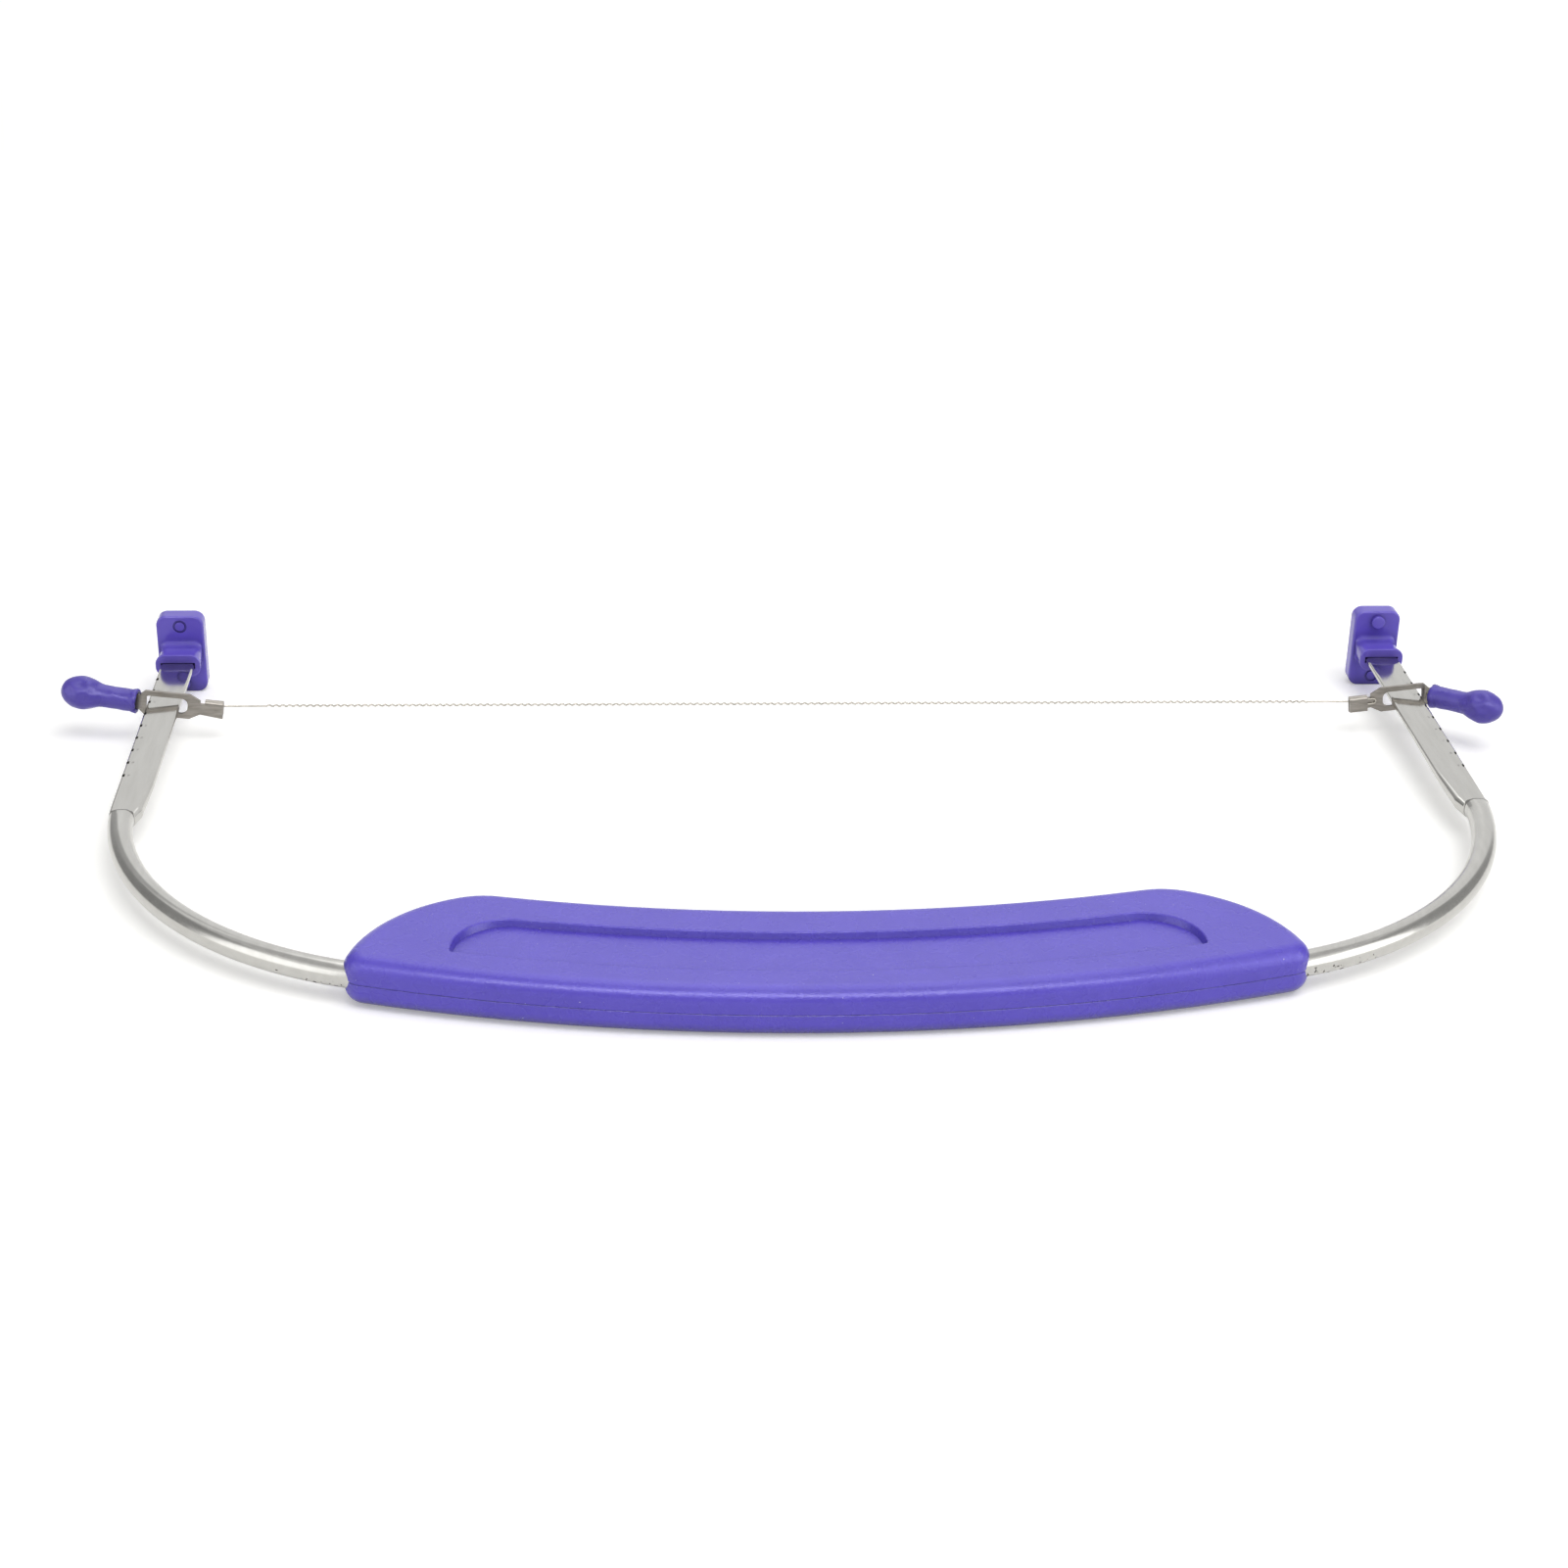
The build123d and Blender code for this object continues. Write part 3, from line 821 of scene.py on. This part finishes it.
@dataclass
class Bow:
    """The polished tube, its ends pressed flat and notched, and the faint numbers stamped beside the notches.

    Each row of `pressed` is an outline and the length of the steps that lead to it.
    """

    pressed: tuple[tuple[TubeSection, float], ...] = (
        (TubeSection(1.2, 2.38, -4.72, 0.625, -0.625, (0.5, 0.5, 0.5, 0.5)), 0.0),
        (TubeSection(42.0, 2.38, -4.50, 0.625, -0.625, (0.5, 0.5, 0.5, 0.5)), 2.4),
        (TubeSection(68.0, 2.38, -4.35, 0.625, -1.20, (0.5, 0.75, 0.6, 0.6)), 1.3),
        (TubeSection(79.0, 2.38, -3.75, 0.625, -2.10, (0.5, 1.15, 1.1, 1.1)), 0.9),
        (TubeSection(82.4, 2.38, -2.72, 0.625, -2.38, (0.5, 0.85, 1.6, 1.6)), 0.45),
        (TubeSection(82.6, 2.20, -2.62, 2.00, -2.38, (1.2, 1.40, 1.7, 1.7)), 0.2),
        (TubeSection(82.9, 2.26, -2.56, 2.26, -2.38, (1.9, 2.00, 2.0, 2.0)), 0.3),
        (TubeSection(85.5, 2.38, -2.38, 2.38, -2.38, (2.3, 2.3, 2.3, 2.3)), 0.5),
    )
    bend_step: float = 1.6
    back_step: float = 5.0
    cutter_height: float = 8.0
    sharp_angle: float = 40.0
    numeral_height: float = 1.15
    numeral_inset: float = 1.42
    numeral_rise: float = 0.012
    numeral_steps: int = 3

    def stations(self) -> list[TubeSection]:
        """The outlines from an arm's tip to the middle of the handle."""
        found = [self.pressed[0][0]]
        for (start, _), (end, step) in zip(self.pressed, self.pressed[1:]):
            count = max(1, round((end.along - start.along) / step))
            found += [start.blend(end, (index + 1) / count) for index in range(count)]
        rounded = found[-1]
        bend_end = LAYOUT.path_length - LAYOUT.back_radius * LAYOUT.back_angle
        for start, end, step in (
            (rounded.along, bend_end, self.bend_step),
            (bend_end, LAYOUT.path_length, self.back_step),
        ):
            count = math.ceil((end - start) / step)
            found += [replace(rounded, along=start + (end - start) * (i + 1) / count) for i in range(count)]
        return found

    def tube(self) -> bpy.types.Object:
        """Sweeps the tube from one tip to the other and cuts the notches.

        Returns:
            The bow, in place of the CAD solid.
        """
        right = []
        for section in self.stations():
            centre, outward = LAYOUT.path(section.along)
            right.append([centre + outward * u + Vector((0.0, 0.0, z)) for u, z in section.ring()])
        left = [[Vector((-p.x, p.y, p.z)) for p in ring] for ring in reversed(right[:-1])]
        bow = finished("pressed_bow", swept(right + left), LAYOUT.laid())
        cuts = bmesh.new()
        size = (2 * LAYOUT.notch_depth, LAYOUT.notch_width, self.cutter_height, 1.0)
        for side in Side:
            for index in range(LAYOUT.notch_count):
                place = Matrix.Translation(LAYOUT.notch(side, index)) @ Matrix.Diagonal(size)
                bmesh.ops.create_cube(cuts, size=1.0, matrix=place)
        cut_out(bow, finished("notch_cutter", cuts, LAYOUT.laid()))
        bow.data.shade_smooth()
        bow.data.set_sharp_from_angle(angle=math.radians(self.sharp_angle))
        dress(bow, BOW_STEEL)
        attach(bow, "frame")
        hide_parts("bow_tube")
        return bow

    def numeral(self, side: Side, index: int) -> bpy.types.Object:
        """One stamped number as a thin mesh lying on the arm.

        Args:
            side: Which arm.
            index: The notch, counted from the feet.

        Returns:
            The piece.
        """
        text = bpy.data.curves.new("numeral", "FONT")
        text.body = str(index + 1)
        text.size = self.numeral_height
        text.align_x, text.align_y = "CENTER", "CENTER"
        text.extrude = self.numeral_rise
        text.resolution_u = self.numeral_steps
        lying = Matrix.Translation(LAYOUT.notch(side, index, self.numeral_inset, LAYOUT.strip_half) * MM)
        name = f"{side.label}_numeral_{index + 1}"
        return finished(name, curve_mesh(text), LAYOUT.laid() @ lying, smooth=False)

    def build(self) -> None:
        """Builds the bow and stamps both arms."""
        bow = self.tube()
        for side in Side:
            for index in range(1, LAYOUT.notch_count):
                mark = self.numeral(side, index)
                dress(mark, STAMP_STEEL)
                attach(mark, "frame")
        LOG.info("built %s and stamped %d numbers", bow.name, 2 * (LAYOUT.notch_count - 1))


@dataclass
class Feet:
    """The two glossy feet, whose CAD shapes are right."""

    def build(self, shown: Nodes) -> None:
        """Dresses both feet.

        Args:
            shown: The CAD nodes by name.
        """
        for side in Side:
            dress(shown[f"{side.label}_foot"], FOOT_PLASTIC)
            LOG.info("dressed %s_foot", side.label)


@dataclass
class PullKnob:
    """A soft vinyl sleeve, dimpled at the bulb and ragged at its mouth, pushed on the bent tang.

    Each dent is its distance along the knob, its lean in degrees from the top and its depth.
    """

    side: Side
    bend: float
    distance: float
    mouth_radius: float = 1.8
    mouth_depth: float = 0.8
    mouth_lead: float = 0.12
    lip_radius: float = 2.6
    lip_width: float = 0.9
    lip_edge: float = 0.2
    lip_fall: float = 0.1
    lip_fade: float = 0.5
    stem_radius: float = 2.35
    stem_length: float = 11.5
    stem_steps: int = 12
    bulb_half: float = 4.7
    bulb_radius: float = 3.55
    bulb_turn: float = 0.80
    bulb_steps: int = 22
    spin_steps: int = 56
    merge_gap: float = 0.004
    socket: Triple = (13.3, 0.75, 3.4)
    waist_start: float = 3.0
    waist_passes: int = 6
    waist_ease: float = 0.5
    noise_seed: Triple = (17.0, 5.0, 3.0)
    lump: float = 0.10
    lump_fade: float = 4.0
    lump_fineness: float = 0.55
    ragged: float = 0.5
    ragged_reach: float = 0.5
    ragged_fineness: float = 1.5
    dents: tuple[Triple, ...] = (
        (9.1, 50.0, 0.42),
        (11.8, 33.0, 0.60),
        (13.3, 72.0, 0.32),
        (10.5, 88.0, 0.36),
        (12.2, 200.0, 0.45),
        (9.6, 150.0, 0.30),
    )
    dent_width: float = 1.05

    def profile(self) -> list[Span]:
        """Half section as distance along the axis and radius, from the mouth's floor to the tip."""
        fade_end = self.lip_width + self.lip_fade
        stem_end = self.stem_length - self.bulb_half
        line = [
            (self.mouth_depth, 0.0),
            (self.mouth_depth, self.mouth_radius),
            (self.mouth_lead, self.mouth_radius),
            (0.0, self.mouth_radius + self.lip_edge),
            (0.0, self.lip_radius - self.lip_edge),
            (self.lip_edge, self.lip_radius),
            (self.lip_width, self.lip_radius - self.lip_fall),
            (fade_end, self.stem_radius),
        ]
        for step in range(1, self.stem_steps - 1):
            line.append((fade_end + step * (stem_end - self.lip_width) / self.stem_steps, self.stem_radius))
        for step in range(self.bulb_steps + 1):
            turn = math.pi * (self.bulb_turn - self.bulb_turn * step / self.bulb_steps)
            x = self.stem_length + self.bulb_half * math.cos(turn)
            radius = self.bulb_radius * math.sin(turn)
            line.append((x, radius if x > self.stem_length else max(radius, self.stem_radius)))
        return line

    def soften(self, mesh: bmesh.types.BMesh) -> None:
        """Smooths the waist, then adds lumps, finger dents and the torn lip.

        Args:
            mesh: The spun sleeve, in millimetres about X.
        """
        waist = [v for v in mesh.verts if self.waist_start < v.co.x < self.stem_length]
        for _ in range(self.waist_passes):
            bmesh.ops.smooth_vert(
                mesh, verts=waist, factor=self.waist_ease, use_axis_x=True, use_axis_y=True, use_axis_z=True
            )
        seed = Vector((self.noise_seed[0] * self.side.value, *self.noise_seed[1:]))
        for vert in mesh.verts:
            radius = math.hypot(vert.co.y, vert.co.z)
            if radius < TINY:
                continue
            outward = Vector((0.0, vert.co.y, vert.co.z)) / radius
            if vert.co.x > self.lip_width and radius > self.mouth_radius:
                share = min(1.0, (vert.co.x - self.lip_width) / self.lump_fade)
                vert.co += outward * self.lump * share * noise.noise(vert.co * self.lump_fineness + seed)
                for x, lean, depth in self.dents:
                    turn = -math.radians(lean) * self.side.value
                    middle = Vector((x, self.bulb_radius * math.sin(turn), self.bulb_radius * math.cos(turn)))
                    away = (vert.co - middle).length
                    vert.co -= outward * depth * math.exp(-((away / self.dent_width) ** 2))
            elif vert.co.x < self.ragged_reach:
                vert.co.x += self.ragged * max(0.0, noise.noise(vert.co * self.ragged_fineness + seed))

    def build(self) -> bpy.types.Object:
        """Spins the sleeve, softens it and cuts the tang's socket.

        Returns:
            The knob, riding with its clip in place of the CAD solid.
        """
        mesh = bmesh.new()
        line = [mesh.verts.new((x, 0.0, radius)) for x, radius in self.profile()]
        edges = [mesh.edges.new(pair) for pair in zip(line, line[1:])]
        bmesh.ops.spin(
            mesh,
            geom=[*line, *edges],
            cent=(0, 0, 0),
            axis=(1, 0, 0),
            angle=2 * math.pi,
            steps=self.spin_steps,
            use_merge=True,
        )
        bmesh.ops.remove_doubles(mesh, verts=mesh.verts, dist=self.merge_gap)
        self.soften(mesh)
        place = LAYOUT.knob(self.side, self.bend, self.distance)
        knob = finished(f"{self.side.label}_vinyl_knob", mesh, place)
        hole = bmesh.new()
        bmesh.ops.create_cube(hole, size=1.0, matrix=Matrix.Diagonal((*self.socket, 1.0)))
        cut_out(knob, finished("socket_cutter", hole, place, smooth=False))
        dress(knob, KNOB_VINYL)
        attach(knob, f"{self.side.label}_clip")
        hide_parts(f"{self.side.label}_pull_knob")
        LOG.info("built %s", knob.name)
        return knob


@dataclass
class WireClip:
    """A stamped steel clip, whose CAD shape is right, and the knob pushed on its tang."""

    side: Side
    knob: PullKnob

    def build(self, shown: Nodes) -> None:
        """Dresses the clip and builds its knob.

        Args:
            shown: The CAD nodes by name.
        """
        dress(shown[f"{self.side.label}_wire_clip"], CLIP_STEEL)
        self.knob.build()


@dataclass
class CuttingWire:
    """The round cutting wire: hairpin ends in the tabs, plain leads, and an even twist between."""

    tab_end: float = -15.6
    leg_y: float = -0.545
    leg_z: float = 0.59
    exit_stub: float = 0.3
    hairpin_width: float = 1.1
    hairpin_turn: float = -10.45
    hairpin_steps: int = 8
    return_end: float = -15.0
    plain_lead: float = 8.0
    wave_pitch: float = 1.42
    wave_height: float = 0.30
    wave_steps: int = 8
    radius: float = 0.18
    ring_sides: int = 8
    merge_gap: float = 1e-7

    def hairpin(self, side: Side) -> list[Vector]:
        """Points from just outside the tab, round the bend and back, in the row frame.

        Args:
            side: Which clip.

        Returns:
            The points, in metres.
        """
        low = self.leg_z - self.hairpin_width
        middle, half = (self.leg_z + low) / 2, self.hairpin_width / 2
        points = [(self.tab_end - self.exit_stub, self.leg_z)]
        for step in range(self.hairpin_steps + 1):
            turn = math.pi / 2 - math.pi * step / self.hairpin_steps
            points.append((self.hairpin_turn + half * math.cos(turn), middle + half * math.sin(turn)))
        points.append((self.return_end, low))
        place = LAYOUT.clip(side)
        return [place @ (Vector((x, self.leg_y, z)) * MM) for x, z in points]

    def line(self) -> list[Vector]:
        """The whole wire's centre line from the left hairpin's end to the right one's."""
        left, right = self.hairpin(Side.LEFT), self.hairpin(Side.RIGHT)
        start, end = left[0], right[0]
        along = (end - start).normalized()
        up = Vector((0.0, 0.0, 1.0))
        across = up.cross(along)
        length = (end - start).length / MM
        waves = int((length - 2 * self.plain_lead) / self.wave_pitch)
        first = length / 2 - waves * self.wave_pitch / 2
        crinkle = []
        for step in range(waves * self.wave_steps + 1):
            turn = 2 * math.pi * step / self.wave_steps
            aside = (up * math.sin(turn) + across * (1 - math.cos(turn))) * self.wave_height / 2
            crinkle.append(start + (along * (first + step * self.wave_pitch / self.wave_steps) + aside) * MM)
        return [*reversed(left), *crinkle, *right]

    def build(self) -> bpy.types.Object:
        """Builds the wire as a round tube on its line.

        Returns:
            The wire, riding with the left clip in place of the CAD solid.
        """
        points = self.line()
        curve = bpy.data.curves.new("wire_line", "CURVE")
        curve.dimensions = "3D"
        curve.bevel_depth = self.radius * MM
        curve.bevel_resolution = (self.ring_sides - 4) // 2
        curve.use_fill_caps = True
        spline = curve.splines.new("POLY")
        spline.points.add(len(points) - 1)
        for spot, place in zip(spline.points, points):
            spot.co = (*place, 1.0)
        mesh = curve_mesh(curve)
        bmesh.ops.remove_doubles(mesh, verts=mesh.verts, dist=self.merge_gap)
        wire = finished("crinkled_wire", mesh, Matrix.Scale(1 / MM, 4))
        dress(wire, WIRE_STEEL)
        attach(wire, "left_clip")
        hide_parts("cutting_wire")
        LOG.info("built %s with %d points", wire.name, len(points))
        return wire


# The studio


@dataclass(frozen=True)
class Card:
    """An evenly bright card that only reflections see, in metres.

    The card has no thickness on the axis where its size is 0. Half of `core` is the share of each
    side that doesn't fade towards the card's edge, counted from the middle.
    """

    middle: Triple
    size: Triple
    brightness: float
    core: float


@dataclass
class Studio:
    """White floor, soft light, reflected cards and the camera at the photograph's view."""

    camera_place: Triple = (-35.2026, -493.5617, 238.3407)
    yaw: float = 0.0649097
    pitch: float = 0.4299920
    roll: float = 0.0193793
    focal_pixels: float = 2856.979
    sensor: float = 36.0
    sight: Span = (0.01, 50.0)
    floor_half: float = 6.0
    floor_colour: Colour = (0.925, 0.920, 0.900)
    floor_lift: Span = (0.28, 0.75)
    floor_fade: Span = (0.7, 3.0)
    lamp_size: float = 1.5
    lamp_place: Triple = (0.5, -0.65, 1.90)
    lamp_power: float = 22.0
    room_light: float = 0.54
    card_thickness: float = 0.01
    cards: tuple[Card, ...] = (
        Card((0.0, 0.2, 2.8), (4.4, 2.9, 0.0), 0.60, 0.38),  # ceiling
        Card((0.1, 1.0, 2.6), (1.9, 2.7, 0.0), 2.6, 0.34),  # bright middle of the ceiling
        Card((0.19, 2.4, 2.2), (1.5, 0.0, 1.3), 2.2, 0.20),  # window high at the back
        Card((-1.75, 2.45, 1.25), (1.8, 0.0, 2.7), 0.50, 0.34),  # dim back left
        Card((-1.75, 0.80, 0.95), (0.0, 2.1, 2.6), 0.34, 0.30),  # dark left side
        Card((-1.8, 2.2, 0.55), (0.0, 3.0, 1.8), 0.42, 0.28),  # dim far left
        Card((1.75, 0.75, 0.95), (0.0, 2.1, 2.6), 0.42, 0.30),  # dark right side
        Card((0.0, -2.0, 0.62), (2.4, 0.0, 1.3), 0.45, 0.34),  # dim front
        Card((0.0, -1.6, 1.62), (2.8, 0.0, 1.05), 7.5, 0.25),  # softbox in front, above
        Card((-2.3, -1.5, 1.0), (0.0, 2.6, 2.4), 2.0, 0.38),  # softbox front left
        Card((2.3, -1.5, 1.0), (0.0, 2.6, 2.4), 2.9, 0.38),  # softbox front right
    )

    def camera(self) -> None:
        """Places the camera as fitted to the photograph."""
        level_share = math.cos(self.pitch)
        forward = Vector(
            (math.sin(self.yaw) * level_share, math.cos(self.yaw) * level_share, -math.sin(self.pitch))
        )
        level = Vector((math.cos(self.yaw), -math.sin(self.yaw), 0.0))
        above = level.cross(forward)
        right = level * math.cos(self.roll) + above * math.sin(self.roll)
        up = above * math.cos(self.roll) - level * math.sin(self.roll)
        data = bpy.data.cameras.new("photo_camera")
        data.sensor_width = self.sensor
        data.lens = self.focal_pixels / PHOTO_WIDTH * self.sensor
        data.clip_start, data.clip_end = self.sight
        camera = bpy.data.objects.new("photo_camera", data)
        axes = Matrix((right, up, -forward)).transposed().to_4x4()
        camera.matrix_world = Matrix.Translation(Vector(self.camera_place) * MM) @ axes
        bpy.context.scene.collection.objects.link(camera)
        bpy.context.scene.camera = camera

    def floor(self) -> None:
        """Lays a matte white floor that keeps the object's shadow and whitens with distance."""
        mesh = bmesh.new()
        bmesh.ops.create_grid(mesh, x_segments=1, y_segments=1, size=self.floor_half / MM)
        floor = finished("studio_floor", mesh, Matrix.Identity(4), smooth=False)
        board = NodeBoard(bpy.data.materials.new("white_floor"))
        matte = board.node("ShaderNodeBsdfDiffuse")
        matte.inputs["Color"].default_value = (*self.floor_colour, 1.0)
        far = board.node("ShaderNodeVectorMath")
        far.operation = "LENGTH"
        board.link(board.node("ShaderNodeTexCoord").outputs["Object"], far.inputs[0])
        amount = board.ranged(far.outputs["Value"], self.floor_fade, self.floor_lift)
        lift = board.node("ShaderNodeEmission")
        board.link(board.math("MULTIPLY", board.rays(), amount), lift.inputs["Strength"])
        both = board.node("ShaderNodeAddShader")
        for shader, end in zip((matte, lift), both.inputs):
            board.link(shader.outputs[0], end)
        board.finish("ShaderNodeOutputMaterial", both.outputs[0])
        floor.data.materials.append(board.owner)

    def surroundings(self) -> None:
        """Fills the room with even soft light, white where the camera or a reflection sees it."""
        board = NodeBoard(bpy.data.worlds.new("soft_room"))
        bpy.context.scene.world = board.owner
        soft, white = (board.node("ShaderNodeBackground") for _ in range(2))
        for background in (soft, white):
            background.inputs["Color"].default_value = (*WHITE, 1.0)
        soft.inputs["Strength"].default_value = self.room_light
        mix = board.node("ShaderNodeMixShader")
        for value, end in zip((board.rays(), soft.outputs[0], white.outputs[0]), mix.inputs):
            board.link(value, end)
        board.finish("ShaderNodeOutputWorld", mix.outputs[0])

    def card_material(self, card: Card) -> bpy.types.Material:
        """One even brightness whose edges fade out, so that its reflection has soft edges.

        Args:
            card: The card.

        Returns:
            The material.
        """
        board = NodeBoard(bpy.data.materials.new("reflected_card"))
        split = board.node("ShaderNodeSeparateXYZ")
        board.link(board.node("ShaderNodeTexCoord").outputs["Generated"], split.inputs[0])
        shares = []
        for axis, length in enumerate(card.size):
            if length > 0.0:
                away = board.math("ABSOLUTE", board.math("SUBTRACT", split.outputs[axis], 0.5))
                shares.append(board.ranged(away, (card.core, 0.5), (1.0, 0.0), smooth=True))
        glow = board.node("ShaderNodeEmission")
        glow.inputs["Strength"].default_value = card.brightness
        clear = board.node("ShaderNodeBsdfTransparent")
        mix = board.node("ShaderNodeMixShader")
        for value, end in zip((board.product(shares), clear.outputs[0], glow.outputs[0]), mix.inputs):
            board.link(value, end)
        board.finish("ShaderNodeOutputMaterial", mix.outputs[0])
        return board.owner

    def reflected_cards(self) -> None:
        """Stands the cards round the tool: the studio's ceiling, its unlit sides and its softboxes."""
        for index, card in enumerate(self.cards):
            mesh = bmesh.new()
            size = Matrix.Diagonal((*(max(v, self.card_thickness) / MM for v in card.size), 1.0))
            bmesh.ops.create_cube(mesh, size=1.0, matrix=size)
            piece = finished(f"reflected_card_{index}", mesh, Matrix.Translation(card.middle), smooth=False)
            piece.data.materials.append(self.card_material(card))
            piece.visible_camera = piece.visible_diffuse = False
            piece.visible_transmission = piece.visible_shadow = False

    def lamp(self) -> None:
        """Hangs one broad soft lamp over and in front of the tool, unseen in reflections."""
        data = bpy.data.lights.new("overhead_softbox", "AREA")
        data.shape, data.size, data.energy = "SQUARE", self.lamp_size, self.lamp_power
        lamp = bpy.data.objects.new("overhead_softbox", data)
        lamp.location = self.lamp_place
        lamp.visible_glossy = False
        lamp.rotation_euler = (-Vector(self.lamp_place)).to_track_quat("-Z", "Y").to_euler()
        bpy.context.scene.collection.objects.link(lamp)

    def build(self) -> None:
        """Sets up the whole studio and plain colour handling."""
        self.camera()
        self.floor()
        self.surroundings()
        self.reflected_cards()
        self.lamp()
        bpy.context.scene.view_settings.view_transform = "Standard"
        LOG.info("studio ready")


@dataclass
class CakeLeveler:
    """The whole tool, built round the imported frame."""

    handle: Handle = field(default_factory=Handle)
    bow: Bow = field(default_factory=Bow)
    feet: Feet = field(default_factory=Feet)
    wire: CuttingWire = field(default_factory=CuttingWire)
    knobs: tuple[PullKnob, PullKnob] = (
        PullKnob(Side.LEFT, bend=8.0, distance=1.0),
        PullKnob(Side.RIGHT, bend=42.0, distance=1.5),
    )

    def build(self, shown: Nodes) -> None:
        """Builds and dresses every sub-assembly.

        Args:
            shown: The CAD nodes by name.
        """
        self.handle.build(shown)
        self.bow.build()
        self.feet.build(shown)
        for knob in self.knobs:
            WireClip(knob.side, knob).build(shown)
        self.wire.build()


def clear_start_scene() -> None:
    """Removes the cube, lamp and camera that Blender starts with."""
    for thing in list(bpy.data.objects):
        bpy.data.objects.remove(thing)


def corners(box: tuple[Vector, Vector]) -> list[list[float]]:
    """A box's two corners as plain lists."""
    return [list(corner) for corner in box]


def main() -> None:
    """Loads the frame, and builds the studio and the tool."""
    logging.basicConfig(level=logging.INFO, format="%(name)s: %(message)s")
    clear_start_scene()
    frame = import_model()
    Studio().build()
    CakeLeveler().build(frame["nodes"])
    bpy.context.view_layer.update()


if __name__ == "__main__":
    main()
